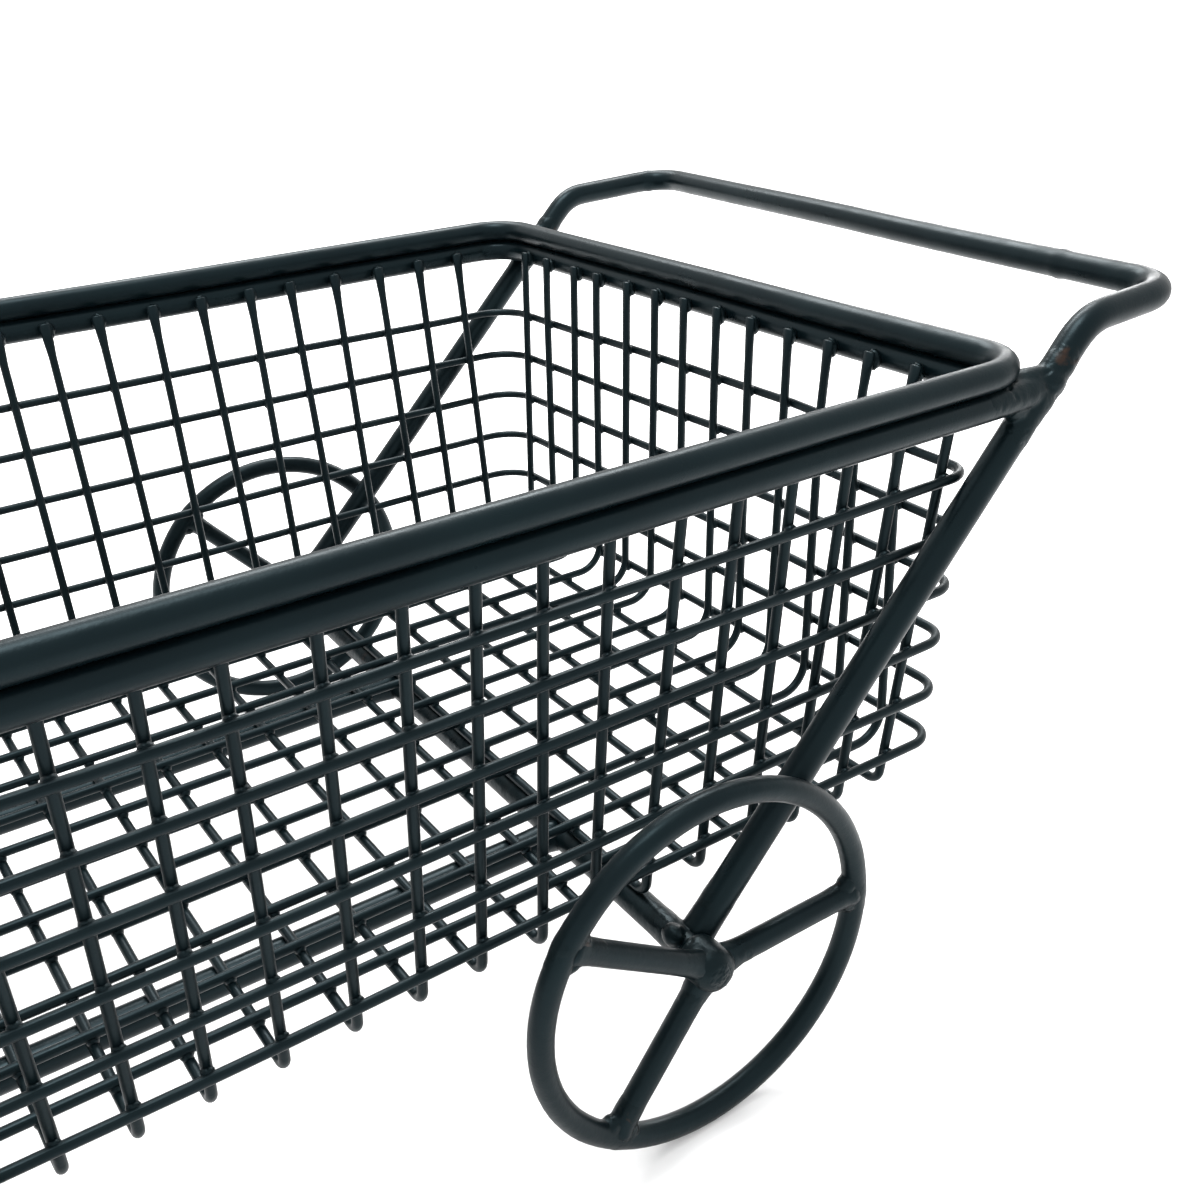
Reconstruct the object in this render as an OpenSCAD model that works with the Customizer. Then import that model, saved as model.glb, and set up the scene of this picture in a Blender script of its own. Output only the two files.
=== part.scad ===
// Rolling basket trolley: a welded wire basket under a doubled rod rim, on
// two fixed axles with four three-spoked rod wheels and a bent push handle.
// Millimetres. +X is the rear, where the push handle is, +Y is the right-hand
// side of somebody who pushes the trolley forwards, and +Z is up.
// Origin: on the ground, under the middle of the trolley's overall length.

/* [Rim] */
// Length between the centre lines of the front and rear rim bars
basket_l = 630; // [560:10:700]
// Width between the centre lines of the side rim bars
basket_w = 380; // [360:10:420]
// Height of the upper rim bar's centre line above the ground
rim_h = 262; // [255:1:275]
// Diameter of the two rim bars
rim_d = 11; // [10:0.5:12]
// Radius of the rim's corners, at the centre line
rim_corner_r = 22; // [20:1:26]

/* [Wire mesh] */
// Diameter of the wire
wire_d = 4; // [3:0.1:4]
// Spacing at the rim of the wires that run down the sides and across the floor
cross_pitch = 25.2; // [24:0.1:26]
// Spacing of the same wires at the foot of the left side, where they stand closer together
left_foot_pitch = 24.1; // [23.6:0.1:25]
// Their spacing at the foot of the right side
right_foot_pitch = 25.3; // [24:0.1:25.4]
// How far towards the rear the left tips of these wires are shifted
left_tip_shift = 11; // [0:0.5:11]
// The same for their left feet, so that they run askew across the floor
left_foot_shift = 8; // [0:0.5:11]
// Spacing of the wires that run down the ends and along the floor
long_pitch = 24.8; // [24:0.1:26]
// How far to the right of the middle the middle one of these is
long_shift = 4.5; // [0:0.5:6]
// Free length between a corner of the rim and the nearest wire
corner_gap = 35; // [32:1:40]
// How far a side leans in between the rim and the floor
side_lean = 12; // [12:1:22]
// How far an end leans in between the rim and the floor
end_lean = 7; // [5:1:12]
// Radius of the bends at the foot of the sides
side_bend_r = 6; // [5:1:12]
// Radius of the bends at the foot of the ends
end_bend_r = 14; // [12:1:16]
// Space that the welds fill between the wires' tips and the lower rim bar
tip_weld = 2.7; // [2.7:0.1:3.5]
// How far the wires' tips rise past the middle of the lower rim bar
tip_rise = 3; // [1:0.5:4]
// Drop from the upper rim bar's centre line to the first hoop
hoop_drop = 40; // [38:1:42]
// Spacing of the hoops
hoop_pitch = 24.5; // [23:0.1:24.5]
// How much lower the hoops are on the right side than on the left
hoop_drop_right = 5; // [0:1:6]
// Radius of the hoops' left corners, at the centre line
left_corner_r = 12; // [10:1:18]
// Radius of the hoops' right corners, at the centre line
right_corner_r = 18; // [12:1:18]

/* [Frame] */
// Diameter of the handle, strut, axle and floor bars
bar_d = 12; // [11:0.5:12]
// Distance of each axle from its end of the rim
axle_inset = 163; // [150:1:175]
// How far past the axle's middle a strut's centre line crosses the axle's height
strut_offset = 6; // [0:1:7]
// How far past the end of the rim the left strut reaches at the handle's bend
bend_reach = 30; // [28:1:36]
// How much further the right strut reaches
bend_skew = 14; // [0:1:16]
// Height of the handle's bends above the upper rim bar
bend_rise = 12; // [10:1:14]
// Radius of the bends between the rear struts and the handle's arms
bend_r = 25; // [18:1:28]
// How far past the end of the rim the left end of the handle's cross bar is
handle_reach = 84; // [80:1:100]
// How much further the right end is
handle_skew = 32; // [0:1:36]
// Height of the handle's cross bar above the upper rim bar
handle_rise = 15; // [14:1:22]
// Radius of the handle's two corners
handle_corner_r = 19; // [16:1:26]
// Height of the front struts' upper ends below the upper rim bar
front_strut_drop = 8; // [6:1:10]
// Diameter of the weld lumps on the struts, at the rim's corners
bead_d = 17; // [16:1:19]
// Thickness of the weld metal between a lump and the rim
bridge_d = 13; // [12:1:14]
// Distance of the left floor bar from the middle
left_floor_bar_y = 106; // [70:1:130]
// Distance of the right floor bar from the middle
right_floor_bar_y = 49; // [30:1:130]

/* [Wheels] */
// Outside diameter of a wheel
wheel_d = 152; // [146:1:156]
// Diameter of the rod that a wheel is made of
wheel_rod_d = 9.5; // [8.5:0.5:10]
// Distance of a wheel's middle plane from the side rim bar's centre line
wheel_out = 16; // [15:0.5:18]
// Angle from a wheel's first spoke to its second
second_spoke = 146; // [110:1:150]
// Angle from a wheel's first spoke to its third
third_spoke = 232; // [225:1:250]
// Outside diameter of a hub sleeve
hub_d = 18; // [17:0.5:20]
// How far a hub sleeve reaches past the wheel's middle plane
hub_reach = 5.5; // [5:0.5:7]
// Space between a hub sleeve and the strut beside it
hub_play = 0.5; // [0.3:0.1:1]
// Radial clearance of a hub sleeve on its axle
hub_clearance = 0.05; // [0.03:0.01:0.1]
// Diameter of the weld head on an axle's end
axle_head_d = 14; // [13.5:0.5:16]
// Height of the weld head on an axle's end
axle_head_h = 3; // [2:0.5:4]

/* [Hidden] */
$fn = 48;

steel = [0.12, 0.15, 0.16];
wire_steel = [0.1, 0.12, 0.13];
gap = 0.06;
// Bends are this much thicker than the straights, which run this far into them
hair = 0.02;
sink = 0.3;
// How far cuts and joined ends run past the surface they meet
over = 1;
// Room at the end of an axle, between its hub sleeve and its head
head_play = 0.1;
// Height of the weld lumps above the lower rim bar's centre line
bead_rise = 3;
// How far inside the rim bars' outer faces the weld metal starts
weld_depth = 1.5;

rim_r = rim_d / 2;
wire_r = wire_d / 2;
bar_r = bar_d / 2;
rod_r = wheel_rod_d / 2;
half_l = basket_l / 2;
half_w = basket_w / 2;

// Heights of the centre lines
axle_h = wheel_d / 2;
lower_rim_h = rim_h - rim_d - gap;
cross_floor_h = axle_h + bar_r + wire_r + gap;
long_floor_h = cross_floor_h + wire_d + gap;

// Struts and handle, measured from the middle of the rim
axle_x = half_l - axle_inset;
strut_foot_x = axle_x + strut_offset;
bend_h = rim_h + bend_rise;
handle_h = rim_h + handle_rise;
front_strut_h = rim_h - front_strut_drop;
bead_h = lower_rim_h + bead_rise;
function bend_x(side) = half_l + bend_reach + (side > 0 ? bend_skew : 0);
function handle_x(side) = half_l + handle_reach + (side > 0 ? handle_skew : 0);
function strut_x(z, side) =
    strut_foot_x + (bend_x(side) - strut_foot_x) * (z - axle_h) / (bend_h - axle_h);

// The rim's middle, placed so that the overall length is centred on the origin
front_reach = strut_x(bead_h, -1) + bead_d / 2;
rear_reach = handle_x(1) + bar_r;
rim_x = (front_reach - rear_reach) / 2;

// Wheels
ring_r = axle_h - rod_r;
wheel_y = half_w + wheel_out;
hub_inner_y = half_w + bar_r + hub_play;
hub_outer_y = wheel_y + hub_reach;
axle_head_y = hub_outer_y + head_play;

function unit(v) = v / norm(v);

// Puts its children at the point p, with their own axes along x, y and z
module place(p, x, y, z)
{
    multmatrix([
        [x[0], y[0], z[0], p[0]],
        [x[1], y[1], z[1], p[1]],
        [x[2], y[2], z[2], p[2]],
        [0, 0, 0, 1]])
    children();
}

// Length of straight that a bend of radius r takes up on each side of corner b
function bend_length(a, b, c, r) = r * tan(acos(unit(b - a) * unit(c - b)) / 2);

// The bend of radius r at corner b, between the straights from a and to c
module bend(a, b, c, r, rod_radius)
{
    before = unit(b - a);
    after = unit(c - b);
    inside = unit(after - (after * before) * before);
    middle = b - before * bend_length(a, b, c, r) + inside * r;
    place(middle, -inside, before, cross(-inside, before))
    rotate_extrude(angle = acos(before * after))
    translate([r, 0])
    circle(r = rod_radius + hair);
}

// The straight from a to b, less the given lengths at its ends
module straight(a, b, less_a, less_b, rod_radius)
{
    along = unit(b - a);
    across = unit(cross(abs(along[0]) < 0.9 ? [1, 0, 0] : [0, 1, 0], along));
    place(a + along * less_a, across, cross(along, across), along)
    cylinder(h = norm(b - a) - less_a - less_b, r = rod_radius);
}

// A round rod along a path of points. Its corners have the radii in bends, from the
// second point on. Each straight runs a little way into the bends at its ends.
module bent_rod(path, bends, rod_radius, closed = false)
{
    count = len(path);
    function at(i) = path[i % count];
    function less(i) =
        closed || (i > 0 && i < count - 1)
            ? bend_length(at(i + count - 1), at(i), at(i + 1), bends[(i + count - 1) % count]) - sink
            : 0;
    for (i = [0 : closed ? count - 1 : count - 2])
        straight(at(i), at(i + 1), less(i), less((i + 1) % count), rod_radius);
    for (i = [1 : closed ? count : count - 2])
        bend(at(i - 1), at(i), at(i + 1), bends[i - 1], rod_radius);
}

// The rim's outline as a closed ring of rod, around the middle of the rim
module rim_loop(z)
{
    bent_rod([
        [half_l, -half_w, z],
        [half_l, half_w, z],
        [-half_l, half_w, z],
        [-half_l, -half_w, z]],
        [rim_corner_r, rim_corner_r, rim_corner_r, rim_corner_r], rim_r, closed = true);
}

// How far a wall leans from upright
function wall_angle(lean, floor_h) = atan(lean / (lower_rim_h - floor_h));

// Distance of a wall's wires from the middle of the basket at height z
function wall_reach(half, lean, floor_h, z) =
    half - (rim_r + tip_weld + wire_r) / cos(wall_angle(lean, floor_h))
    - lean * (lower_rim_h - z) / (lower_rim_h - floor_h);

// The same for a hoop, which lies against the outside of the wires
function hoop_reach(half, lean, floor_h, z) =
    wall_reach(half, lean, floor_h, z) + (wire_d + gap) / cos(wall_angle(lean, floor_h));

module upper_rim_bar()
{
    color(steel)
    translate([rim_x, 0, 0])
    rim_loop(rim_h);
}

module lower_rim_bar()
{
    color(steel)
    translate([rim_x, 0, 0])
    rim_loop(lower_rim_h);
}

// What the rim's corner takes out of the weld metal: both rim bars, with a hair's gap
module rim_corner_space(side)
{
    for (z = [rim_h, lower_rim_h])
        translate([half_l - rim_corner_r, side * (half_w - rim_corner_r), z])
        rotate_extrude()
        translate([rim_corner_r, 0])
        circle(r = rim_r + gap);
}

// The weld metal on a strut that bridges the space to the rim's corner. The strut
// leans as the one at the rear on the side called like.
module rim_weld(side, like)
{
    inset = rim_corner_r - (rim_corner_r + rim_r - weld_depth) * cos(45);
    on_rim = [half_l - inset, side * (half_w - inset), lower_rim_h];
    on_strut = [strut_x(bead_h, like), side * half_w, bead_h];
    difference() {
        union() {
            straight(on_rim, on_strut, 0, 0, bridge_d / 2);
            translate(on_strut)
            sphere(d = bead_d);
        }
        rim_corner_space(side);
    }
}

// The axle's own space, which the bars that end on it are cut to
module axle_space()
{
    translate([axle_x, 0, axle_h])
    rotate([90, 0, 0])
    cylinder(h = basket_w + 4 * bar_d, r = bar_r + gap, center = true);
}

// Both rear struts, the handle's arms and its cross bar are one bent bar
module push_handle()
{
    color(steel)
    translate([rim_x, 0, 0])
    difference() {
        union() {
            bent_rod([
                [strut_foot_x, -half_w, axle_h],
                [bend_x(-1), -half_w, bend_h],
                [handle_x(-1), -half_w, handle_h],
                [handle_x(1), half_w, handle_h],
                [bend_x(1), half_w, bend_h],
                [strut_foot_x, half_w, axle_h]],
                [bend_r, handle_corner_r, handle_corner_r, bend_r], bar_r);
            for (side = [-1, 1])
                rim_weld(side, side);
        }
        axle_space();
    }
}

module front_strut(side)
{
    color(steel)
    translate([rim_x, 0, 0])
    mirror([1, 0, 0])
    difference() {
        union() {
            bent_rod([
                [strut_foot_x, side * half_w, axle_h],
                [strut_x(front_strut_h, -1), side * half_w, front_strut_h]],
                [], bar_r);
            rim_weld(side, -1);
        }
        axle_space();
    }
}

module axle(x)
{
    dome_r = (pow(axle_head_d / 2, 2) + pow(axle_head_h, 2)) / (2 * axle_head_h);
    color(steel)
    translate([rim_x + x, 0, axle_h])
    for (side = [0, 180])
        rotate([-90, 0, side]) {
            cylinder(h = axle_head_y + over, r = bar_r);
            translate([0, 0, axle_head_y])
            intersection() {
                cylinder(h = axle_head_h, d = axle_head_d);
                translate([0, 0, axle_head_h - dome_r])
                sphere(r = dome_r);
            }
        }
}

module floor_bar(y)
{
    color(steel)
    translate([rim_x, 0, 0])
    difference() {
        translate([-axle_x, y, axle_h])
        rotate([0, 90, 0])
        cylinder(h = 2 * axle_x, r = bar_r);
        axle_space();
        mirror([1, 0, 0])
        axle_space();
    }
}

// A wire bent to a U: down one wall, along the floor and up the other wall. It stands
// to one side by the four amounts in shifts, which are those of its first tip and foot
// and of its second foot and tip.
module u_wire(half, lean, floor_h, corner_r, shifts)
{
    tip_h = lower_rim_h + tip_rise;
    tip = wall_reach(half, lean, floor_h, tip_h);
    foot = wall_reach(half, lean, floor_h, floor_h);
    bent_rod([
        [-tip, shifts[0], tip_h],
        [-foot, shifts[1], floor_h],
        [foot, shifts[2], floor_h],
        [tip, shifts[3], tip_h]],
        [corner_r, corner_r], wire_r);
}

module cross_wires()
{
    rows = floor((half_l - corner_gap) / cross_pitch);
    color(wire_steel)
    translate([rim_x, 0, 0])
    for (i = [-rows : rows])
        rotate([0, 0, 90])
        u_wire(half_w, side_lean, cross_floor_h, side_bend_r, [
            -left_tip_shift - i * cross_pitch,
            -left_foot_shift - i * left_foot_pitch,
            -i * right_foot_pitch,
            -i * cross_pitch]);
}

module long_wires()
{
    rows = floor((half_w - corner_gap) / long_pitch);
    color(wire_steel)
    translate([rim_x, 0, 0])
    for (i = [-rows : rows])
        translate([0, i * long_pitch + long_shift, 0])
        u_wire(half_l, end_lean, long_floor_h, end_bend_r, [0, 0, 0, 0]);
}

// Hoop number n, counted from the rim down
module hoop(n)
{
    left_z = rim_h - hoop_drop - hoop_pitch * (n - 1);
    right_z = left_z - hoop_drop_right;
    function corner(end, side, z) = [
        end * hoop_reach(half_l, end_lean, long_floor_h, z),
        side * hoop_reach(half_w, side_lean, cross_floor_h, z),
        z];
    color(wire_steel)
    translate([rim_x, 0, 0])
    bent_rod(
        [corner(1, -1, left_z), corner(1, 1, right_z), corner(-1, 1, right_z), corner(-1, -1, left_z)],
        [right_corner_r, right_corner_r, left_corner_r, left_corner_r], wire_r, closed = true);
}

// Middle of a wheel: end is 1 for rear and -1 for front, side is -1 for left and 1 for right
function wheel_middle(end, side) = [rim_x + end * axle_x, side * wheel_y, axle_h];

module wheel_ring(end, side)
{
    color(steel)
    translate(wheel_middle(end, side))
    rotate([90, 0, 0])
    rotate_extrude()
    translate([ring_r, 0])
    circle(r = rod_r);
}

// The spokes, with their ends shaped to the hub and the ring. The first one is at
// turned degrees from +X towards +Z.
module wheel_spokes(end, side, turned)
{
    color(steel)
    translate(wheel_middle(end, side))
    rotate([90, 0, 0])
    difference() {
        for (angle = [0, second_spoke, third_spoke])
            rotate([0, 90, angle + turned])
            translate([0, 0, hub_d / 2 - over])
            cylinder(h = ring_r - hub_d / 2 + over, r = rod_r);
        cylinder(h = 2 * wheel_rod_d, d = hub_d + 2 * gap, center = true);
        rotate_extrude()
        translate([ring_r, 0])
        circle(r = rod_r + gap);
    }
}

module wheel_hub(end, side)
{
    color(steel)
    translate([rim_x + end * axle_x, side * hub_inner_y, axle_h])
    rotate([-90 * side, 0, 0])
    difference() {
        cylinder(h = hub_outer_y - hub_inner_y, d = hub_d);
        translate([0, 0, -over])
        cylinder(h = hub_outer_y - hub_inner_y + 2 * over, r = bar_r + hub_clearance);
    }
}

upper_rim_bar();
lower_rim_bar();
push_handle();
front_strut(-1);  // front_left_strut
front_strut(1);  // front_right_strut
axle(axle_x);  // rear_axle
axle(-axle_x);  // front_axle
floor_bar(-left_floor_bar_y);  // left_floor_bar
floor_bar(right_floor_bar_y);  // right_floor_bar
cross_wires();
long_wires();
hoop(1);  // hoop_1
hoop(2);  // hoop_2
hoop(3);  // hoop_3
hoop(4);  // hoop_4
hoop(5);  // hoop_5
hoop(6);  // hoop_6
wheel_ring(1, -1);  // rear_left_wheel_ring
wheel_spokes(1, -1, 0);  // rear_left_wheel_spokes
wheel_hub(1, -1);  // rear_left_wheel_hub
wheel_ring(1, 1);  // rear_right_wheel_ring
wheel_spokes(1, 1, -14);  // rear_right_wheel_spokes
wheel_hub(1, 1);  // rear_right_wheel_hub
wheel_ring(-1, -1);  // front_left_wheel_ring
wheel_spokes(-1, -1, 75);  // front_left_wheel_spokes
wheel_hub(-1, -1);  // front_left_wheel_hub
wheel_ring(-1, 1);  // front_right_wheel_ring
wheel_spokes(-1, 1, 200);  // front_right_wheel_spokes
wheel_hub(-1, 1);  // front_right_wheel_hub
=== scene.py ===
import math
import random

import bmesh
import bpy
from mathutils import Matrix, Vector, noise


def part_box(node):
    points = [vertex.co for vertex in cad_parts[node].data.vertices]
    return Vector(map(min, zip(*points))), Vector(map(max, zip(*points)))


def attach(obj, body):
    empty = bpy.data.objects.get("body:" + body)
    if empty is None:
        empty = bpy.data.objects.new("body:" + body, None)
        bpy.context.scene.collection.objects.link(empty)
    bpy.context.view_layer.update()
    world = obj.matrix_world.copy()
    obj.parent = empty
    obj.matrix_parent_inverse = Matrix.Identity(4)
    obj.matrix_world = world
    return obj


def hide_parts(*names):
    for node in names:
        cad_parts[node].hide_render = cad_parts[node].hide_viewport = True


# A hand-welded wire basket trolley, in metres. Every place comes from the CAD
# nodes' boxes; the shapes repeat part.scad's bends, and add the welds, flattened
# wire ends and small irregularities of handwork.

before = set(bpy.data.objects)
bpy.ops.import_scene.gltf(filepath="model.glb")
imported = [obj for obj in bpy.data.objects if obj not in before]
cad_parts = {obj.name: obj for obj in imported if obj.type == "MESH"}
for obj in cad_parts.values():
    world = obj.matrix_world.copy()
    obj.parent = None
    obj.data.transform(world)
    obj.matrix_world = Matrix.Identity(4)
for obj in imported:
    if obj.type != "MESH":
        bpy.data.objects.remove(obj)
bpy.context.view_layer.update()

# Without a seed, noise_vector starts from the clock and each run sways differently
noise.seed_set(1)

MM = 0.001
ALONG_X = Vector((1, 0, 0))
ALONG_Y = Vector((0, 1, 0))
UP = Vector((0, 0, 1))


# ---------------------------------------------------------------- measures

def box(node):
    low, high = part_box(node)
    return Vector(low), Vector(high)


rim_low, rim_high = box("upper_rim_bar")
lower_rim_high = box("lower_rim_bar")[1]
handle_high = box("push_handle")[1]
axle_low, axle_high = box("rear_axle")
front_axle_low, front_axle_high = box("front_axle")
floor_bar_low, floor_bar_high = box("left_floor_bar")

# The rim's two bars; HALF_L and HALF_W reach to the middle of the bars
RIM_R = (rim_high.z - rim_low.z) / 2
RIM_X = (rim_low.x + rim_high.x) / 2
RIM_Z = rim_high.z - RIM_R
LOWER_RIM_Z = lower_rim_high.z - RIM_R
HALF_L = (rim_high.x - rim_low.x) / 2 - RIM_R
HALF_W = (rim_high.y - rim_low.y) / 2 - RIM_R
RIM_CORNER = 22 * MM
RIM_SWAY = 0.3 * MM

# Handle, struts and axles. Where the two sides differ, -1 is left and 1 is right.
BAR_R = (floor_bar_high.z - floor_bar_low.z) / 2
BAR_SWAY = 0.5 * MM
AXLE_X = (axle_low.x + axle_high.x) / 2
FRONT_AXLE_X = (front_axle_low.x + front_axle_high.x) / 2
AXLE_Z = (axle_low.z + axle_high.z) / 2
AXLE_END_Y = axle_high.y
HEAD_H = 3 * MM
HANDLE_SKEW = 32 * MM
HANDLE_X = {-1: handle_high.x - BAR_R - HANDLE_SKEW, 1: handle_high.x - BAR_R}
HANDLE_Z = handle_high.z - BAR_R
HANDLE_CORNER = 19 * MM
FOOT_SHIFT = 6 * MM
FOOT_X = AXLE_X + FOOT_SHIFT
BEND_OUT = {-1: 30 * MM, 1: 44 * MM}
BEND_X = {side: RIM_X + HALF_L + out for side, out in BEND_OUT.items()}
BEND_RISE = 12 * MM
BEND_Z = RIM_Z + BEND_RISE
BEND_CORNER = 25 * MM
STRUT_TOP_DROP = 8 * MM

# Wire mesh. A lean is how much further out a wall stands at the lower rim bar than at
# the floor; TIP_WELD is the space that the welds fill beside the wires' tips.
WIRE_R = 2 * MM
WIRE_STRAY = 1.7 * MM
WIRE_SWAY = 0.6 * MM
HOOP_SWAY = 0.9 * MM
SIDE_LEAN = 12 * MM
END_LEAN = 7 * MM
TIP_WELD = 2.7 * MM
TIP_RISE = 3 * MM
SIDE_BEND = 6 * MM
END_BEND = 14 * MM
LEFT_CORNER = 12 * MM
RIGHT_CORNER = 20 * MM
CROSS_ROWS = 11
CROSS_PITCH = 25.2 * MM
LEFT_FOOT_PITCH = 24.1 * MM
RIGHT_FOOT_PITCH = 25.3 * MM
LEFT_TIP_SHIFT = 11 * MM
LEFT_FOOT_SHIFT = 8 * MM
LONG_ROWS = 6
LONG_PITCH = 24.8 * MM
LONG_SHIFT = 4.5 * MM
HOOPS = [f"hoop_{number}" for number in range(1, 7)]
CROSS_FLOOR_Z = box("cross_wires")[0].z + WIRE_R
LONG_FLOOR_Z = box("long_wires")[0].z + WIRE_R
TIP_Z = LOWER_RIM_Z + TIP_RISE

# At the rear end the mesh is pulled in towards its left corner: not at all up to
# PULL_Y, most at the height of the first hoop, where its wires have a slight knee
PULL_IN = 10 * MM
PULL_FADE = 0.85
PULL_Y = -70 * MM
PULL_BEND = 60 * MM
KNEE_DROP = 40 * MM
KNEE_Z = RIM_Z - KNEE_DROP
KNEE_BEND = 25 * MM

# A visible rod stands this much over the CAD's, and a weld's core as much over its rod
SKIN = 0.05 * MM
CORE = 0.1 * MM


# ---------------------------------------------------------------- rods and beads

# How many waves of noise there are to a metre
SWAY_WAVES = 9
SWELL_WAVES = 110
LUMP_WAVES = 260
PIT_WAVES = 330


def add_object(name, data):
    made = bpy.data.objects.new(name, data)
    bpy.context.scene.collection.objects.link(made)
    return made


def wobble(point, amount, seed):
    """A small smooth shift that makes a rod look bent and welded by hand. Each seed
    reads another part of the noise."""
    place = Vector((point.x, point.y, point.z / 4)) * SWAY_WAVES
    place += Vector((seed * 3.7, seed * 1.3, seed * 5.1))
    return noise.noise_vector(place) * amount


ARC_STEP = math.radians(9)


def rounded(path, radii, step=5 * MM, closed=False):
    """Points along a path of straights whose corners are arcs of the given radii."""
    count = len(path)
    points = []
    corners = range(count) if closed else range(1, count - 1)
    if not closed:
        points.append(path[0].copy())
    arcs = []
    for corner in corners:
        before = (path[corner] - path[corner - 1]).normalized()
        after = (path[(corner + 1) % count] - path[corner]).normalized()
        radius = radii[corner if closed else corner - 1]
        turn = before.angle(after)
        inside = (after - before * after.dot(before)).normalized()
        start = path[corner] - before * radius * math.tan(turn / 2)
        centre = start + inside * radius
        steps = max(4, round(turn / ARC_STEP))
        arcs.append([
            centre - inside * radius * math.cos(turn * k / steps)
            + before * radius * math.sin(turn * k / steps)
            for k in range(steps + 1)])
    ends = arcs if closed else arcs + [[path[-1].copy()]]
    last = arcs[-1][-1] if closed else points[0]
    for arc in ends:
        length = (arc[0] - last).length
        pieces = max(1, round(length / step))
        points += [last.lerp(arc[0], k / pieces) for k in range(1, pieces)]
        points += arc
        last = arc[-1]
    return points


def add_tube(mesh, points, radius, sides, closed=False, normal=None, profile=None,
             lump=None, sway=0.0, seed=0):
    """Sweeps a round section along the points.

    profile(s, length) gives the section's scale along the normal and across it, and
    lump(s, length) the height of the weld bumps, at the distance s from the start.
    """
    points = [point + wobble(point, sway, seed) for point in points]
    count = len(points)
    distance = [0.0]
    for k in range(1, count):
        distance.append(distance[-1] + (points[k] - points[k - 1]).length)
    length = distance[-1]
    rings = []
    side = None
    for k, point in enumerate(points):
        ahead = points[(k + 1) % count] if closed or k < count - 1 else point
        behind = points[k - 1] if closed or k > 0 else point
        along = (ahead - behind).normalized()
        if side is None:
            side = normal or along.orthogonal()
        side = (side - along * side.dot(along)).normalized()
        other = along.cross(side)
        wide, thick = profile(distance[k], length) if profile else (1, 1)
        bump = lump(distance[k], length) if lump else 0
        ring = []
        for turn in range(sides):
            angle = 2 * math.pi * turn / sides
            out = side * math.cos(angle) * wide + other * math.sin(angle) * thick
            place = point + out * radius
            if bump:
                place += out * bump * noise.noise(place * LUMP_WAVES + Vector((seed, 0, 0)))
            ring.append(mesh.verts.new(place))
        rings.append(ring)
    pairs = list(zip(rings, rings[1:]))
    if closed:
        pairs.append((rings[-1], rings[0]))
    for first, second in pairs:
        for k in range(sides):
            after = (k + 1) % sides
            mesh.faces.new((first[k], first[after], second[after], second[k]))
    if not closed:
        for ring, point, outward in ((rings[0], points[0], points[0] - points[1]),
                                     (rings[-1], points[-1], points[-1] - points[-2])):
            add_cap(mesh, ring, point, outward.normalized(), radius)


# A rod's domed end, in parts of its radius
CAP_INNER = 0.72
CAP_INNER_RISE = 0.22
CAP_RISE = 0.3


def add_cap(mesh, ring, centre, outward, radius):
    """Closes a tube's end with a slightly domed face."""
    rise = outward * radius * CAP_INNER_RISE
    inner = [mesh.verts.new(centre.lerp(vert.co, CAP_INNER) + rise) for vert in ring]
    tip = mesh.verts.new(centre + outward * radius * CAP_RISE)
    count = len(ring)
    for k in range(count):
        after = (k + 1) % count
        mesh.faces.new((ring[k], ring[after], inner[after], inner[k]))
        mesh.faces.new((inner[k], inner[after], tip))


BEAD_WAVES = 2.2


def add_bead(mesh, centre, size, lump, fineness, seed):
    """A ball of weld metal with the half sizes in size, and lumps that are up to lump
    times its size high."""
    matrix = Matrix.Translation(centre) @ Matrix.Diagonal((*size, 1))
    made = bmesh.ops.create_icosphere(mesh, subdivisions=fineness, radius=1, matrix=matrix)
    mean = sum(size) / 3
    for vert in made["verts"]:
        out = vert.co - centre
        place = vert.co * (BEAD_WAVES / mean) + Vector((seed * 7.3, seed, 0))
        height = noise.noise(place) + 0.5 * noise.noise(place * 2.7) + 0.25 * noise.noise(place * 6.1)
        vert.co += out.normalized() * height * lump * mean


def near_ends(reach, wide, seat=0.0):
    """A profile that flares a rod into its weld at both ends, over the length reach. The
    first stretch, as long as seat, has the full flare."""
    def profile(s, length):
        edge = max(min(s, length - s) - seat, 0)
        scale = 1 + wide * math.exp(-edge / reach)
        return scale, scale
    return profile


def bump_near_ends(reach, height):
    """A lump that is highest at both ends and fades over the length reach."""
    return lambda s, length: height * math.exp(-min(s, length - s) / reach)


# Pits are cut where the noise is above PIT_SHARE, PIT_DEPTH times as deep as the
# roughness is high
PIT_SHARE = 0.38
PIT_DEPTH = 5


def melted(mesh, grain, rounds, rough, seed):
    """Runs overlapping shapes together into one skin with soft creases, as weld metal
    does, then roughens it."""
    data = bpy.data.meshes.new("melting")
    mesh.to_mesh(data)
    mesh.free()
    lump = add_object("melting", data)
    skin = lump.modifiers.new("skin", "REMESH")
    skin.mode = "VOXEL"
    skin.voxel_size = grain
    soft = lump.modifiers.new("soft", "SMOOTH")
    soft.factor = 0.5
    soft.iterations = rounds
    evaluated = lump.evaluated_get(bpy.context.evaluated_depsgraph_get())
    result = bmesh.new()
    result.from_mesh(evaluated.to_mesh())
    evaluated.to_mesh_clear()
    bpy.data.objects.remove(lump)
    bpy.data.meshes.remove(data)
    result.normal_update()
    for vert in result.verts:
        place = vert.co + Vector((seed, 0, 0))
        height = noise.noise(place * SWELL_WAVES) + 0.5 * noise.noise(place * LUMP_WAVES)
        pit = max(noise.noise(place * PIT_WAVES + Vector((5, 0, 0))) - PIT_SHARE, 0)
        vert.co += vert.normal * (height * rough - pit * rough * PIT_DEPTH)
    return result


# How much thinner a stub is at its ends
STUB_TAPER = 0.16


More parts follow.
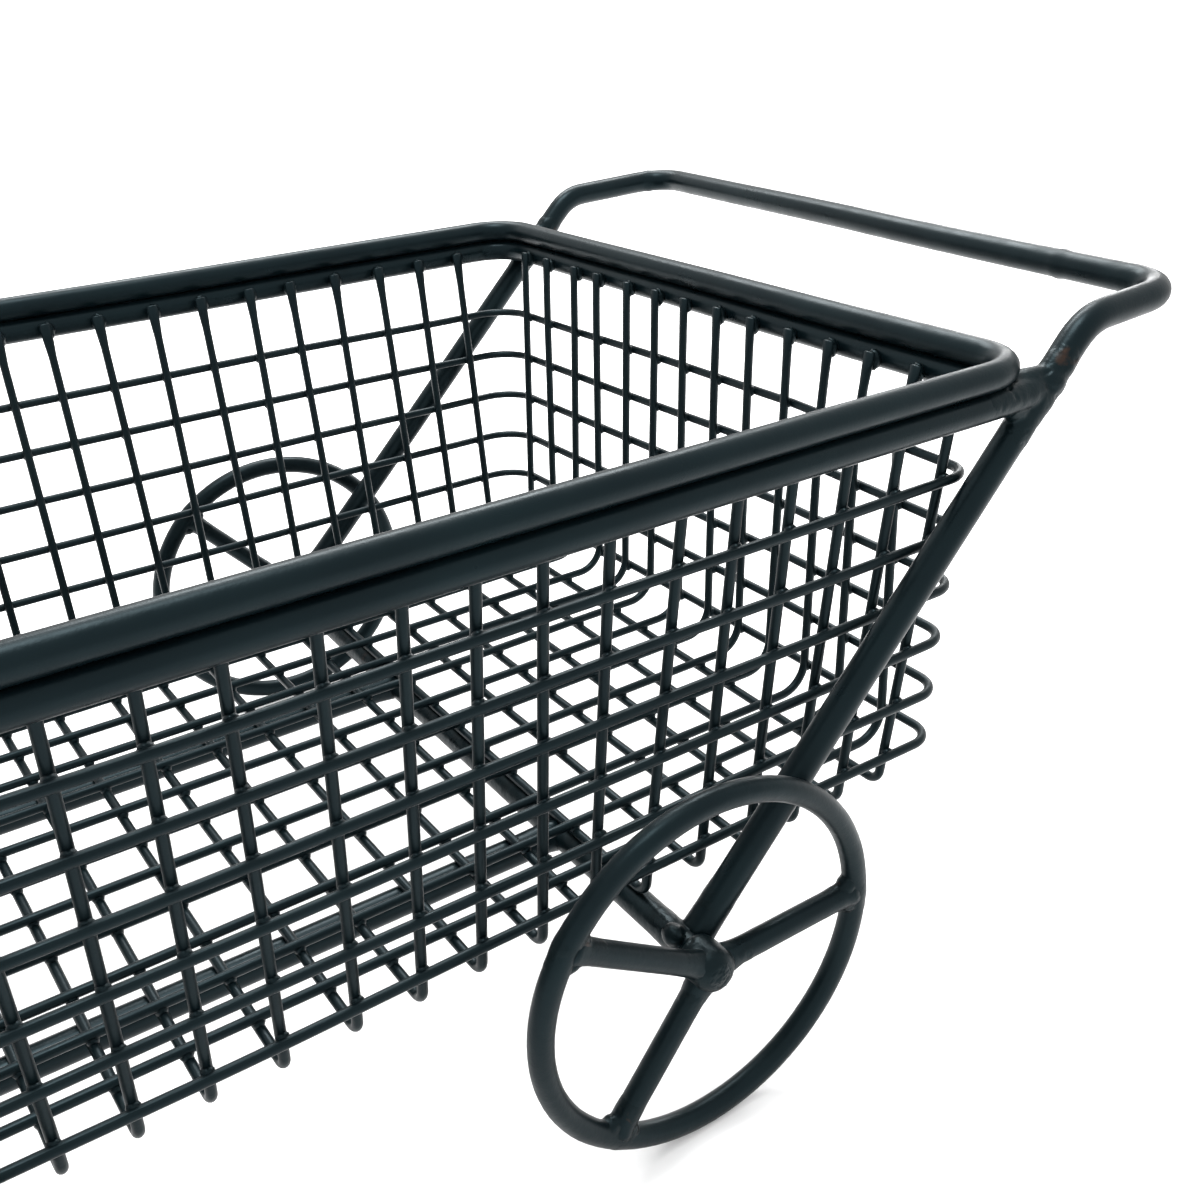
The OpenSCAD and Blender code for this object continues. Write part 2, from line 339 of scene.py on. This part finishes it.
def add_stub(mesh, start, end, radius, wide):
    """A short fat rod between two points, which tapers into the rod that it lies on. At
    its middle it is wider by the share wide."""
    def profile(s, length):
        edge = min(s, length - s) / length * 2
        scale = 1 - STUB_TAPER * (1 - min(edge * 2.5, 1)) ** 2 + wide * edge
        return scale, scale

    add_tube(mesh, rounded([start, end], [], step=1.5 * MM), radius, sides=20, profile=profile)


def piece(name, mesh, material, body, nodes=()):
    """Turns the mesh into an object that rides on a body and stands for CAD nodes."""
    bmesh.ops.recalc_face_normals(mesh, faces=mesh.faces)
    data = bpy.data.meshes.new(name)
    mesh.to_mesh(data)
    mesh.free()
    data.polygons.foreach_set("use_smooth", [True] * len(data.polygons))
    data.materials.append(material)
    made = add_object(name, data)
    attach(made, body)
    if nodes:
        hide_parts(*nodes)


# ---------------------------------------------------------------- materials

GLOSS_TINT = (0.62, 0.9, 1.0, 1)
SPECK_COLOUR = (0.09, 0.1, 0.1)
RUST_COLOUR = (0.07, 0.028, 0.012)


def powder_coat(name, dark, light, roughness, peel, pits, rust=0.0):
    """Satin powder coat over steel: two close tones, orange peel, specks and pits, and
    rust stains where rust says how strong they are."""
    material = bpy.data.materials.new(name)
    material.use_nodes = True
    nodes = material.node_tree.nodes
    link = material.node_tree.links.new
    shader = nodes["Principled BSDF"]
    shader.inputs["Specular Tint"].default_value = GLOSS_TINT
    shader.inputs["Metallic"].default_value = 0.0
    place = nodes.new("ShaderNodeTexCoord").outputs["Object"]

    def texture(kind, output, scale, detail):
        node = nodes.new("ShaderNodeTex" + kind)
        node.inputs["Scale"].default_value = scale
        node.inputs["Detail"].default_value = detail
        link(place, node.inputs["Vector"])
        return node.outputs[output]

    def clouds(scale, detail):
        return texture("Noise", "Fac", scale, detail)

    def ranged(value, low, high, to_low=0, to_high=1):
        node = nodes.new("ShaderNodeMapRange")
        node.inputs["From Min"].default_value = low
        node.inputs["From Max"].default_value = high
        node.inputs["To Min"].default_value = to_low
        node.inputs["To Max"].default_value = to_high
        link(value, node.inputs["Value"])
        return node.outputs["Result"]

    def mixed(factor, first, second):
        node = nodes.new("ShaderNodeMix")
        node.data_type = "RGBA"
        link(factor, node.inputs["Factor"])
        for socket, value in ((node.inputs[6], first), (node.inputs[7], second)):
            if isinstance(value, tuple):
                socket.default_value = (*value, 1)
            else:
                link(value, socket)
        return node.outputs[2]

    def product(first, second):
        node = nodes.new("ShaderNodeMath")
        node.operation = "MULTIPLY"
        link(first, node.inputs[0])
        link(second, node.inputs[1])
        return node.outputs["Value"]

    def bumped(height, distance, strength, normal=None):
        node = nodes.new("ShaderNodeBump")
        node.inputs["Distance"].default_value = distance
        node.inputs["Strength"].default_value = strength
        link(height, node.inputs["Height"])
        if normal:
            link(normal, node.inputs["Normal"])
        return node.outputs["Normal"]

    tone = mixed(ranged(clouds(24, 4), 0.35, 0.65), dark, light)
    speck_cells = texture("Voronoi", "Distance", 210, 2)
    specks = product(ranged(speck_cells, 0.06, 0.16, 1, 0), ranged(clouds(95, 1), 0.66, 0.72))
    tone = mixed(specks, tone, SPECK_COLOUR)
    if rust:
        tone = mixed(ranged(clouds(60, 5), 0.66, 0.76, 0, rust), tone, RUST_COLOUR)
    link(tone, shader.inputs["Base Color"])

    # The gloss fades towards a rod's outline, and worn patches are smoother or duller
    facing = nodes.new("ShaderNodeLayerWeight").outputs["Facing"]
    link(ranged(facing, 0.55, 0.95, 0.14, 0.04), shader.inputs["Specular IOR Level"])
    link(ranged(clouds(70, 3), 0.3, 0.7, roughness - 0.07, roughness + 0.09),
         shader.inputs["Roughness"])

    normal = bumped(clouds(1100, 2), 0.1 * MM, peel)
    normal = bumped(clouds(260, 3), 0.5 * MM, pits, normal)
    normal = bumped(specks, 0.3 * MM, 0.5, normal)
    link(normal, shader.inputs["Normal"])
    return material


BAR_COAT = powder_coat(
    "bar_coat", dark=(0.001, 0.0029, 0.0039), light=(0.0019, 0.005, 0.0062),
    roughness=0.33, peel=0.35, pits=0.12)
WIRE_COAT = powder_coat(
    "wire_coat", dark=(0.001, 0.0028, 0.0037), light=(0.0019, 0.0047, 0.0058),
    roughness=0.35, peel=0.35, pits=0.2)
WELD_COAT = powder_coat(
    "weld_coat", dark=(0.001, 0.0026, 0.0033), light=(0.0019, 0.0045, 0.0054),
    roughness=0.33, peel=0.5, pits=0.6, rust=0.5)
WHEEL_COAT = powder_coat(
    "wheel_coat", dark=(0.0011, 0.003, 0.004), light=(0.002, 0.0052, 0.0064),
    roughness=0.35, peel=0.4, pits=0.2)


# ---------------------------------------------------------------- rim

def make_rim(node, z):
    mesh = bmesh.new()
    corners = [Vector((RIM_X + x * HALF_L, y * HALF_W, z))
               for x, y in ((1, -1), (1, 1), (-1, 1), (-1, -1))]
    points = rounded(corners, [RIM_CORNER] * 4, closed=True)
    add_tube(mesh, points, RIM_R + SKIN, sides=24, closed=True, sway=RIM_SWAY, seed=1)
    piece(node + "_rod", mesh, BAR_COAT, "frame", [node])


make_rim("upper_rim_bar", RIM_Z)
make_rim("lower_rim_bar", LOWER_RIM_Z)


# ---------------------------------------------------------------- wire mesh

def wall_angle(lean, floor_z):
    return math.atan(lean / (LOWER_RIM_Z - floor_z))


def wall_reach(half, lean, floor_z, z):
    """Distance of a wall's wires from the basket's middle at height z."""
    stand = (RIM_R + TIP_WELD + WIRE_R) / math.cos(wall_angle(lean, floor_z))
    return half - stand - lean * (LOWER_RIM_Z - z) / (LOWER_RIM_Z - floor_z)


def pulled_in(end, y, z):
    """How far the rear end's mesh is pulled in towards its left corner, most at the
    height of the first hoop."""
    if end < 0:
        return 0.0
    drop = (KNEE_Z - z) / (KNEE_Z - CROSS_FLOOR_Z)
    height = 1 - PULL_FADE * drop if drop > 0 else (TIP_Z - z) / (TIP_Z - KNEE_Z)
    return PULL_IN * height * max(0, (PULL_Y - y) / (HALF_W + PULL_Y))


def u_wire(half, lean, floor_z, bend, along, across, shifts):
    """Points of one U-shaped wire: first tip, first foot, second foot, second tip. The
    four are shifted across by their own amounts."""
    tip = wall_reach(half, lean, floor_z, TIP_Z)
    foot = wall_reach(half, lean, floor_z, floor_z)
    middle = Vector((RIM_X, 0, 0))
    places = list(zip((-tip, -foot, foot, tip), shifts, (TIP_Z, floor_z, floor_z, TIP_Z)))
    bends = [bend, bend]
    if across is ALONG_Y:
        knee = wall_reach(half, lean, floor_z, KNEE_Z) - pulled_in(1, shifts[3], KNEE_Z)
        places[2] = (foot - pulled_in(1, shifts[2], floor_z), shifts[2], floor_z)
        places.insert(3, (knee, shifts[3], KNEE_Z))
        bends.append(KNEE_BEND)
    path = [middle + along * x + across * shift + UP * z for x, shift, z in places]
    return rounded(path, bends, step=8 * MM)


PRESSED = 6 * MM
PRESS_FADE = 5 * MM
PRESS_WIDER = 0.45
PRESS_FLATTER = 0.2


def pressed_tip(s, length):
    """A wire's end is pressed flat and wide where it is welded to the lower rim bar."""
    edge = min(s, length - s)
    press = 1 - min(max((edge - PRESSED) / PRESS_FADE, 0), 1)
    return 1 + PRESS_WIDER * press, 1 - PRESS_FLATTER * press


def make_wires(node, half, lean, floor_z, bend, along, across, rows, shifts_of, seed):
    """One family of wires, with as many as rows on each side of the middle one.

    shifts_of(row) gives the shifts of a wire's tips and feet. For each wire the result
    has a function place(side, z), its shift on one of its two walls at the height z.
    """
    chance = random.Random(seed)
    mesh = bmesh.new()
    places = []
    for row in range(-rows, rows + 1):
        shifts = [shift + chance.uniform(-WIRE_STRAY, WIRE_STRAY) for shift in shifts_of(row)]

        def place(side, z, shifts=shifts):
            tip, foot = (shifts[0], shifts[1]) if side < 0 else (shifts[3], shifts[2])
            return foot + (tip - foot) * (z - floor_z) / (TIP_Z - floor_z)

        places.append(place)
        points = u_wire(half, lean, floor_z, bend, along, across, shifts)
        add_tube(mesh, points, WIRE_R, sides=14, normal=across, profile=pressed_tip,
                 sway=WIRE_SWAY, seed=seed + row)
    piece(node + "_rods", mesh, WIRE_COAT, "frame", [node])
    return places


cross_places = make_wires(
    "cross_wires", HALF_W, SIDE_LEAN, CROSS_FLOOR_Z, SIDE_BEND, ALONG_Y, ALONG_X, CROSS_ROWS,
    lambda row: (row * CROSS_PITCH + LEFT_TIP_SHIFT, row * LEFT_FOOT_PITCH + LEFT_FOOT_SHIFT,
                 row * RIGHT_FOOT_PITCH, row * CROSS_PITCH), seed=31)
long_places = make_wires(
    "long_wires", HALF_L, END_LEAN, LONG_FLOOR_Z, END_BEND, ALONG_X, ALONG_Y, LONG_ROWS,
    lambda row: [row * LONG_PITCH + LONG_SHIFT] * 4, seed=57)


def hoop_reach(half, lean, floor_z, z):
    """The same as wall_reach for a hoop, which lies against the wires' outside."""
    return wall_reach(half, lean, floor_z, z) + 2 * WIRE_R / math.cos(wall_angle(lean, floor_z))


def hoop_place(end, y, z):
    """The place of a hoop across an end of the basket; end is 1 at the rear."""
    x = hoop_reach(HALF_L, END_LEAN, LONG_FLOOR_Z, z) - pulled_in(end, y, z)
    return Vector((RIM_X + end * x, y, z))


def hoop_corner(end, side, heights):
    """Where a hoop's stretches would meet if its corner were sharp."""
    z = heights[side > 0]
    return hoop_place(end, side * hoop_reach(HALF_W, SIDE_LEAN, CROSS_FLOOR_Z, z), z)


def hoop_end(end, y, heights):
    """The place on a hoop's stretch across an end of the basket, at the distance y."""
    left, right = (hoop_corner(end, side, heights) for side in (-1, 1))
    return hoop_place(end, y, left.lerp(right, (y - left.y) / (right.y - left.y)).z)


def make_hoop(node, heights, seed):
    path = [hoop_corner(1, -1, heights), hoop_end(1, PULL_Y, heights), hoop_corner(1, 1, heights),
            hoop_corner(-1, 1, heights), hoop_corner(-1, -1, heights)]
    corners = [LEFT_CORNER, PULL_BEND, RIGHT_CORNER, RIGHT_CORNER, LEFT_CORNER]
    mesh = bmesh.new()
    add_tube(mesh, rounded(path, corners, step=8 * MM, closed=True), WIRE_R, sides=14,
             closed=True, sway=HOOP_SWAY, seed=seed)
    piece(node + "_rod", mesh, WIRE_COAT, "frame", [node])


# Each hoop's heights on the left and on the right, where it lies lower
hoop_heights = []
for number, node in enumerate(HOOPS):
    low, high = box(node)
    hoop_heights.append((high.z - WIRE_R, low.z + WIRE_R))
    make_hoop(node, hoop_heights[-1], seed=70 + number)


def hoop_crossings(heights):
    """Where one hoop meets the wires of the two sides and the two ends."""
    spots = []
    for side, z in zip((-1, 1), heights):
        y = hoop_corner(1, side, heights).y - side * WIRE_R
        spots += [Vector((RIM_X + place(side, z), y, z)) for place in cross_places]
    for end in (-1, 1):
        spots += [hoop_end(end, place(end, heights[0]), heights) - ALONG_X * end * WIRE_R
                  for place in long_places]
    return spots


def floor_crossings():
    """Where the two families of wires meet on the floor, askew as they lie."""
    z = (CROSS_FLOOR_Z + LONG_FLOOR_Z) / 2
    side_foot = wall_reach(HALF_W, SIDE_LEAN, CROSS_FLOOR_Z, CROSS_FLOOR_Z)
    end_foot = wall_reach(HALF_L, END_LEAN, LONG_FLOOR_Z, LONG_FLOOR_Z)
    spots = []
    for cross_place in cross_places:
        left_x, right_x = (cross_place(side, CROSS_FLOOR_Z) for side in (-1, 1))
        for long_place in long_places:
            front_y, rear_y = (long_place(end, LONG_FLOOR_Z) for end in (-1, 1))
            x = left_x + (right_x - left_x) * (0.5 + front_y / (2 * side_foot))
            y = front_y + (rear_y - front_y) * (0.5 + x / (2 * end_foot))
            spots.append(Vector((RIM_X + x, y, z)))
    return spots


SPOT_R = WIRE_R * 1.25


def make_spot_welds():
    """The spot weld at each crossing of two wires."""
    spots = [spot for heights in hoop_heights for spot in hoop_crossings(heights)]
    mesh = bmesh.new()
    for seed, spot in enumerate(spots + floor_crossings(), 1):
        add_bead(mesh, spot, (SPOT_R, SPOT_R, SPOT_R), lump=0.12, fineness=2, seed=seed)
    piece("mesh_spot_welds", mesh, WIRE_COAT, "frame")


# A tip weld's place and its half sizes along and across the rim bar
TIP_WELD_DROP = 0.8 * MM
TIP_WELD_IN = 1.6 * MM
TIP_WELD_LONG = 3.2 * MM
TIP_WELD_THICK = 2.5 * MM


def make_tip_welds():
    """The weld bead beside each wire's tip, drawn out along the lower rim bar."""
    chance = random.Random(5)
    mesh = bmesh.new()
    middle = Vector((RIM_X, 0, LOWER_RIM_Z - TIP_WELD_DROP))
    in_side = RIM_R + TIP_WELD_IN
    for side in (-1, 1):
        for places, across, wall, plan in (
                (cross_places, ALONG_X, ALONG_Y * side * (HALF_W - in_side),
                 (TIP_WELD_LONG, TIP_WELD_THICK)),
                (long_places, ALONG_Y, ALONG_X * side * (HALF_L - in_side),
                 (TIP_WELD_THICK, TIP_WELD_LONG))):
            for place in places:
                beside = place(side, TIP_Z) + chance.uniform(0.5, 2) * MM
                height = chance.uniform(3.6, 4.8) * MM
                add_bead(mesh, middle + across * beside + wall, (*plan, height), lump=0.2,
                         fineness=3, seed=chance.uniform(0, 90))
    piece("wire_tip_welds", mesh, WELD_COAT, "frame")


make_spot_welds()
make_tip_welds()


# ---------------------------------------------------------------- handle, struts, axles

def strut_x(z, side):
    return FOOT_X + (BEND_X[side] - FOOT_X) * (z - AXLE_Z) / (BEND_Z - AXLE_Z)


def front(point):
    """The place at the front that mirrors one at the rear."""
    return Vector((2 * RIM_X - point.x, point.y, point.z))


def handle_points():
    path = [
        Vector((FOOT_X, -HALF_W, AXLE_Z)),
        Vector((BEND_X[-1], -HALF_W, BEND_Z)),
        Vector((HANDLE_X[-1], -HALF_W, HANDLE_Z)),
        Vector((HANDLE_X[1], HALF_W, HANDLE_Z)),
        Vector((BEND_X[1], HALF_W, BEND_Z)),
        Vector((FOOT_X, HALF_W, AXLE_Z))]
    return rounded(path, [BEND_CORNER, HANDLE_CORNER, HANDLE_CORNER, BEND_CORNER], step=3 * MM)


# Where the bent bar was spliced, as distances from its left foot, and how high each
# seam stands
SEAMS = ((374 * MM, 0.5 * MM), (336 * MM, 0.25 * MM), (700 * MM, 0.35 * MM))
SEAM_WIDTH = 1.6 * MM

# How a bar thickens into the weld at its end, and how lumpy it is there
FLARE = 9 * MM
WELD_LUMPS = bump_near_ends(10 * MM, 0.8 * MM)


def handle_profile(s, length):
    scale = near_ends(FLARE, 0.14)(s, length)[0]
    for at, height in SEAMS:
        scale += height / BAR_R * math.exp(-((s - at) / SEAM_WIDTH) ** 2)
    return scale, scale


def make_handle():
    mesh = bmesh.new()
    add_tube(mesh, handle_points(), BAR_R, sides=28, profile=handle_profile,
             lump=WELD_LUMPS, sway=BAR_SWAY, seed=11)
    piece("push_handle_rod", mesh, BAR_COAT, "frame", ["push_handle"])


def make_front_strut(node, side):
    top_z = RIM_Z - STRUT_TOP_DROP
    foot = front(Vector((FOOT_X, side * HALF_W, AXLE_Z)))
    top = front(Vector((strut_x(top_z, -1), side * HALF_W, top_z)))
    mesh = bmesh.new()
    add_tube(mesh, rounded([foot, top], [], step=4 * MM), BAR_R, sides=24,
             profile=near_ends(FLARE, 0.1), lump=WELD_LUMPS, sway=BAR_SWAY, seed=15 + side)
    piece(node + "_rod", mesh, BAR_COAT, "frame", [node])


def make_corner_weld(name, side, like, place, rise, seed):
    """The weld metal between a strut and the rim's corner, run together with the bars.

    The strut leans as the rear one on the side like does, and the metal covers it up to
    rise over the lower rim bar.
    """
    def at(x, y, z):
        return place(Vector((x, side * y, LOWER_RIM_Z + z)))

    def on_strut(z, out=0.0):
        return at(strut_x(LOWER_RIM_Z + z, like), HALF_W + out, z)

    mesh = bmesh.new()
    add_stub(mesh, on_strut(-22 * MM), on_strut(rise), BAR_R + 0.15 * MM, 0.04)
    rim_end = RIM_X + HALF_L
    add_stub(mesh, at(rim_end - 30 * MM, HALF_W, 0), on_strut(1 * MM), RIM_R + CORE, 0.08)
    add_stub(mesh, at(rim_end - 7 * MM, HALF_W - 6 * MM, 2 * MM), on_strut(4 * MM), 5.6 * MM, 0.1)
    # Beads at the crossing: height and distance out, and size, in millimetres
    for z, out, size in ((3, 0.4, 6.7), (-3, 0, 6.6), (rise / MM / 2, 0, 6.4)):
        add_bead(mesh, on_strut(z * MM, out * MM), (size * MM,) * 3, lump=0.08, fineness=4,
                 seed=seed + z)
    under = at(strut_x(LOWER_RIM_Z, like) - 13 * MM, HALF_W, -4 * MM)
    add_bead(mesh, under, (7 * MM, 4.6 * MM, 5 * MM), lump=0.1, fineness=4, seed=seed + 30)
    mesh = melted(mesh, grain=0.8 * MM, rounds=9, rough=0.28 * MM, seed=seed * 0.37)
    piece(name, mesh, WELD_COAT, "frame")


def make_foot_weld(name, side, place, seed):
    """The weld metal between a strut's foot and its axle."""
    def at(x, y, z):
        return place(Vector((x, side * (HALF_W + y), AXLE_Z + z)))

    def on_strut(z):
        return at(strut_x(AXLE_Z + z, side), 0, z)

    mesh = bmesh.new()
    add_stub(mesh, on_strut(-1 * MM), on_strut(19 * MM), BAR_R + CORE, 0.05)
    add_stub(mesh, at(AXLE_X, -19 * MM, 0), at(AXLE_X, 5.6 * MM, 0), BAR_R + CORE, 0.04)
    # Beads: distance along and over the axle, and size, in millimetres
    for x, z, size in ((-4, 5.5, 4.2), (8.5, 4, 4.4), (3, -1, 6.4)):
        add_bead(mesh, at(AXLE_X + x * MM, 0, z * MM), (size * MM, 4.8 * MM, size * MM),
                 lump=0.1, fineness=4, seed=seed + x)
    mesh = melted(mesh, grain=0.8 * MM, rounds=5, rough=0.3 * MM, seed=seed * 0.71)
    piece(name, mesh, WELD_COAT, "frame")


def make_axle(node, x):
    mesh = bmesh.new()
    ends = [Vector((x, side * (AXLE_END_Y - HEAD_H), AXLE_Z)) for side in (-1, 1)]
    add_tube(mesh, rounded(ends, [], step=6 * MM), BAR_R, sides=24)
    for side in (-1, 1):
        head = Vector((x, side * (AXLE_END_Y - HEAD_H * 0.9), AXLE_Z))
        add_bead(mesh, head, (BAR_R, 2.5 * MM, BAR_R), lump=0.12, fineness=5, seed=side + 40 * x)
    piece(node + "_rod", mesh, WELD_COAT, "frame", [node])


def make_floor_bar(node):
    low, high = box(node)
    y = (low.y + high.y) / 2
    ends = [Vector((low.x, y, AXLE_Z)), Vector((high.x, y, AXLE_Z))]
    mesh = bmesh.new()
    add_tube(mesh, rounded(ends, []), BAR_R, sides=24, profile=near_ends(6 * MM, 0.16),
             lump=bump_near_ends(9 * MM, 1.2 * MM), seed=y * 90)
    piece(node + "_rod", mesh, BAR_COAT, "frame", [node])


make_handle()
make_front_strut("front_left_strut", -1)
make_front_strut("front_right_strut", 1)
for side, side_name in ((-1, "left"), (1, "right")):
    for place, end_name, like, rise in ((lambda point: point, "rear", side, 17 * MM),
                                        (front, "front", -1, 4 * MM)):
        seed = 20 + 3 * side + (11 if end_name == "front" else 0)
        make_corner_weld(f"{end_name}_{side_name}_corner_weld", side, like, place, rise, seed)
        make_foot_weld(f"{end_name}_{side_name}_foot_weld", side, place, seed + 5)
make_axle("rear_axle", AXLE_X)
make_axle("front_axle", FRONT_AXLE_X)
make_floor_bar("left_floor_bar")
make_floor_bar("right_floor_bar")


# ---------------------------------------------------------------- wheels

# Degrees: the spokes' places round a wheel, and how far each wheel is turned at rest
SPOKES = (0, 146, 232)
WHEELS = {"rear_left": 0, "rear_right": -14, "front_left": 75, "front_right": 200}
RING_STEPS = 96
RING_SWAY = 0.4 * MM

# How far a spoke's rod reaches, in parts of the hub's radius and of the ring's rod
SPOKE_START = 0.6
SPOKE_SINK = 0.35


def sleeve_profile(s, length):
    scale = 1 - 0.16 * math.exp(-min(s, length - s) / (1.2 * MM))
    return scale, scale


def flare_profile(s, length):
    scale = 0.9 + 0.13 * math.sin(math.pi * s / length)
    return scale, scale


def make_wheel(name, turned):
    ring_low, ring_high = box(name + "_wheel_ring")
    hub_low, hub_high = box(name + "_wheel_hub")
    middle = (ring_low + ring_high) / 2
    rod_r = (ring_high.y - ring_low.y) / 2
    ring_r = (ring_high.x - ring_low.x) / 2 - rod_r
    hub_r = (hub_high.x - hub_low.x) / 2
    body = name + "_wheel"
    seed = 100 + turned
    angles = [math.radians(turned + angle) for angle in SPOKES]

    def around(angle, distance):
        return middle + Vector((math.cos(angle) * distance, 0, math.sin(angle) * distance))

    mesh = bmesh.new()
    points = [around(2 * math.pi * k / RING_STEPS, ring_r) for k in range(RING_STEPS)]
    add_tube(mesh, points, rod_r, sides=20, closed=True, normal=ALONG_Y, sway=RING_SWAY, seed=seed)
    piece(name + "_wheel_ring_rod", mesh, WHEEL_COAT, body, [name + "_wheel_ring"])

    mesh = bmesh.new()
    for angle in angles:
        ends = [around(angle, hub_r * SPOKE_START), around(angle, ring_r - rod_r * SPOKE_SINK)]
        add_tube(mesh, rounded(ends, [], step=2 * MM), rod_r, sides=20,
                 profile=near_ends(3 * MM, 0.16, 2 * MM), lump=bump_near_ends(7 * MM, 0.8 * MM),
                 seed=seed + angle)
    piece(name + "_wheel_spoke_rods", mesh, WHEEL_COAT, body, [name + "_wheel_spokes"])

    # The sleeve and the roots of the spokes are run together by their welds
    mesh = bmesh.new()
    sleeve = [Vector((middle.x, y, middle.z)) for y in (hub_low.y, hub_high.y)]
    add_tube(mesh, rounded(sleeve, [], step=1 * MM), hub_r - 0.2 * MM, sides=36,
             profile=sleeve_profile)
    for angle in angles:
        add_stub(mesh, around(angle, 1 * MM), around(angle, hub_r + 11 * MM), rod_r + SKIN, 0.03)
        root = around(angle, hub_r + 0.5 * MM)
        add_bead(mesh, root, (4.3 * MM, rod_r * 0.9, 4.3 * MM), lump=0.08, fineness=3,
                 seed=seed + angle)
    mesh = melted(mesh, grain=0.7 * MM, rounds=5, rough=0.22 * MM, seed=seed)
    piece(name + "_wheel_hub_sleeve", mesh, WELD_COAT, body, [name + "_wheel_hub"])

    # Each spoke's outer end flares into the ring
    mesh = bmesh.new()
    for number, angle in enumerate(angles):
        root = around(angle, ring_r - rod_r - 13 * MM)
        add_stub(mesh, root, around(angle, ring_r), rod_r + SKIN, 0.06)
        sweep = [around(angle + turn, ring_r) for turn in (-0.19, -0.1, 0, 0.1, 0.19)]
        add_tube(mesh, sweep, rod_r + 0.08 * MM, sides=20, profile=flare_profile)
        for turn, size in ((-0.07, 3.2), (0.07, 3.6)):
            place = around(angle + turn, ring_r - rod_r + 0.6 * MM)
            add_bead(mesh, place, (size * MM, 4.1 * MM, size * MM), lump=0.1, fineness=3,
                     seed=seed + number + turn)
    mesh = melted(mesh, grain=0.7 * MM, rounds=6, rough=0.26 * MM, seed=seed + 3)
    piece(name + "_wheel_welds", mesh, WELD_COAT, body)


for name, turned in WHEELS.items():
    make_wheel(name, turned)


# ---------------------------------------------------------------- studio

FLOOR_REACH = 60
FLOOR_COLOUR = (0.96, 0.96, 0.96, 1)


def make_floor():
    material = bpy.data.materials.new("studio_floor")
    material.use_nodes = True
    shader = material.node_tree.nodes["Principled BSDF"]
    shader.inputs["Base Color"].default_value = FLOOR_COLOUR
    shader.inputs["Roughness"].default_value = 0.9
    shader.inputs["Specular IOR Level"].default_value = 0.1
    corners = [(x * FLOOR_REACH, y * FLOOR_REACH, 0) for x, y in ((-1, -1), (1, -1), (1, 1), (-1, 1))]
    data = bpy.data.meshes.new("studio_floor")
    data.from_pydata(corners, [], [(0, 1, 2, 3)])
    data.materials.append(material)
    floor = add_object("studio_floor", data)


def make_softbox(name, place, target, size, power):
    data = bpy.data.lights.new(name, "AREA")
    data.shape = "RECTANGLE"
    data.size, data.size_y = size
    data.energy = power
    lamp = add_object(name, data)
    lamp.location = place
    lamp.rotation_euler = (Vector(target) - Vector(place)).to_track_quat("-Z", "Y").to_euler()


def make_world(strength):
    world = bpy.data.worlds.new("studio")
    world.use_nodes = True
    background = world.node_tree.nodes["Background"]
    background.inputs["Color"].default_value = (1, 1, 1, 1)
    background.inputs["Strength"].default_value = strength
    bpy.context.scene.world = world
    bpy.context.scene.view_settings.view_transform = "Standard"


def make_camera(place, degrees, lens):
    data = bpy.data.cameras.new("camera")
    data.sensor_width = 36
    data.lens = lens
    camera = add_object("camera", data)
    camera.location = place
    camera.rotation_euler = [math.radians(angle) for angle in degrees]
    bpy.context.scene.camera = camera


make_floor()
make_softbox("top", (-0.1, 0.1, 2.1), target=(0, 0, 0.2), size=(0.8, 0.8), power=38)
make_softbox("back", (0.8, 1.2, 1.7), target=(0, 0, 0.2), size=(1.5, 0.5), power=44)
make_softbox("low_back", (1.9, 1.1, 0.7), target=(0.2, 0, 0.25), size=(0.7, 0.4), power=9)
make_world(strength=1.4)
make_camera((RIM_X - 0.0684, -0.4857, 0.4030), degrees=(63.37, 2.37, -34.09), lens=38.6)
